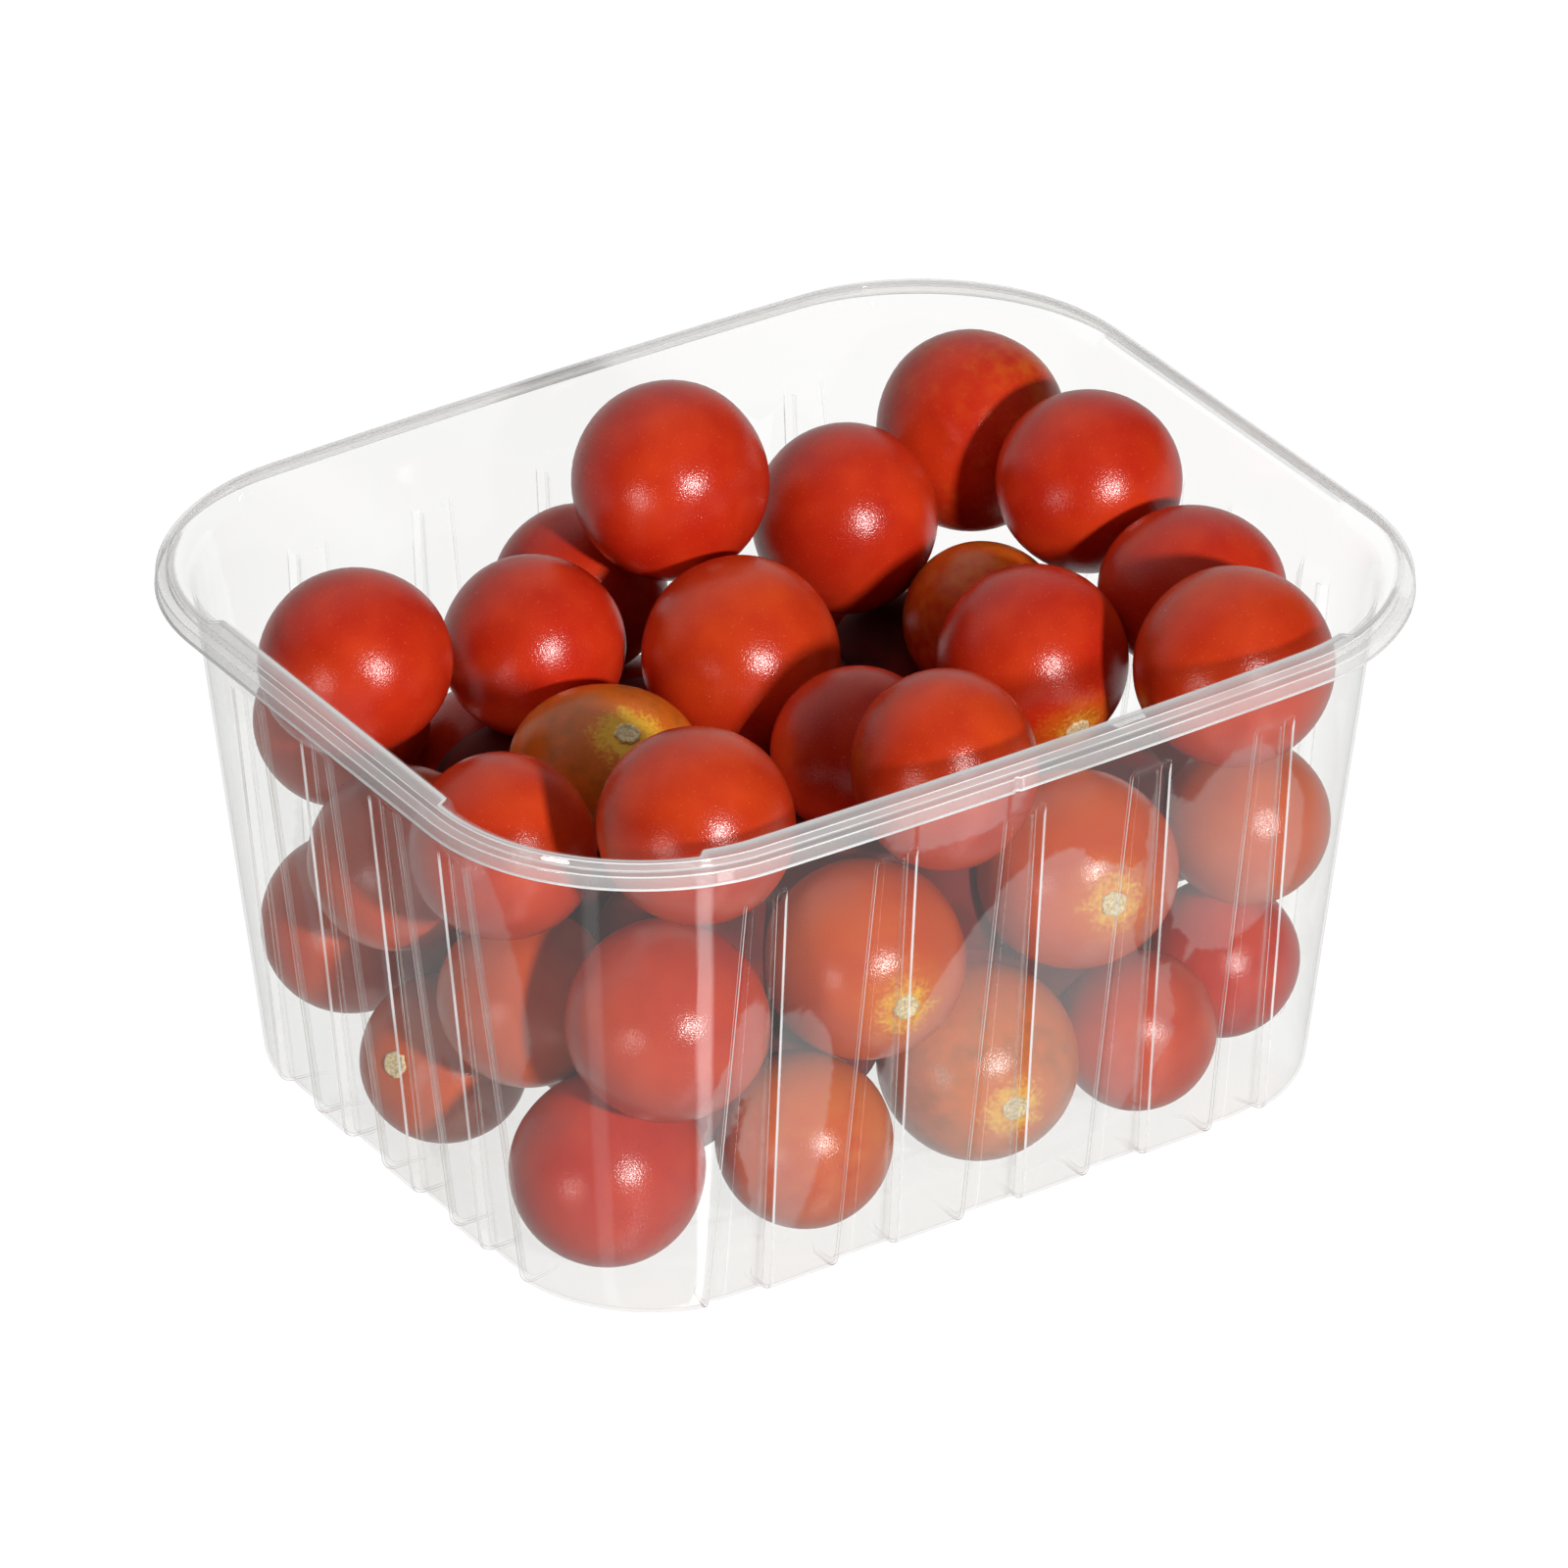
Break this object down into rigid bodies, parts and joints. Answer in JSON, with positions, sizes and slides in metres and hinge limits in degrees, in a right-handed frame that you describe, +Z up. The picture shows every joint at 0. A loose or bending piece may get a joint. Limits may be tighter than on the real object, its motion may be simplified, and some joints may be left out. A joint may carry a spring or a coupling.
{
  "type": "punnet of cherry tomatoes",
  "caption": "Clear plastic punnet with a turned-down rim and grooved, tapering walls, heaped with loose cherry tomatoes.",
  "frame": {"origin": "middle of the object's box at floor level, under the tub's middle", "axes": "+Z up, +X along the tub's long side, +Y across it"},
  "size_m": [0.143, 0.12, 0.0849],
  "materials": {
    "clear_plastic": "clear glossy thin moulded plastic",
    "tomato": "smooth waxy tomato skin"
  },
  "bodies": {
    "root": {"punnet": "clear_plastic", "tomato_heap": "tomato"}
  },
  "joints": []
}
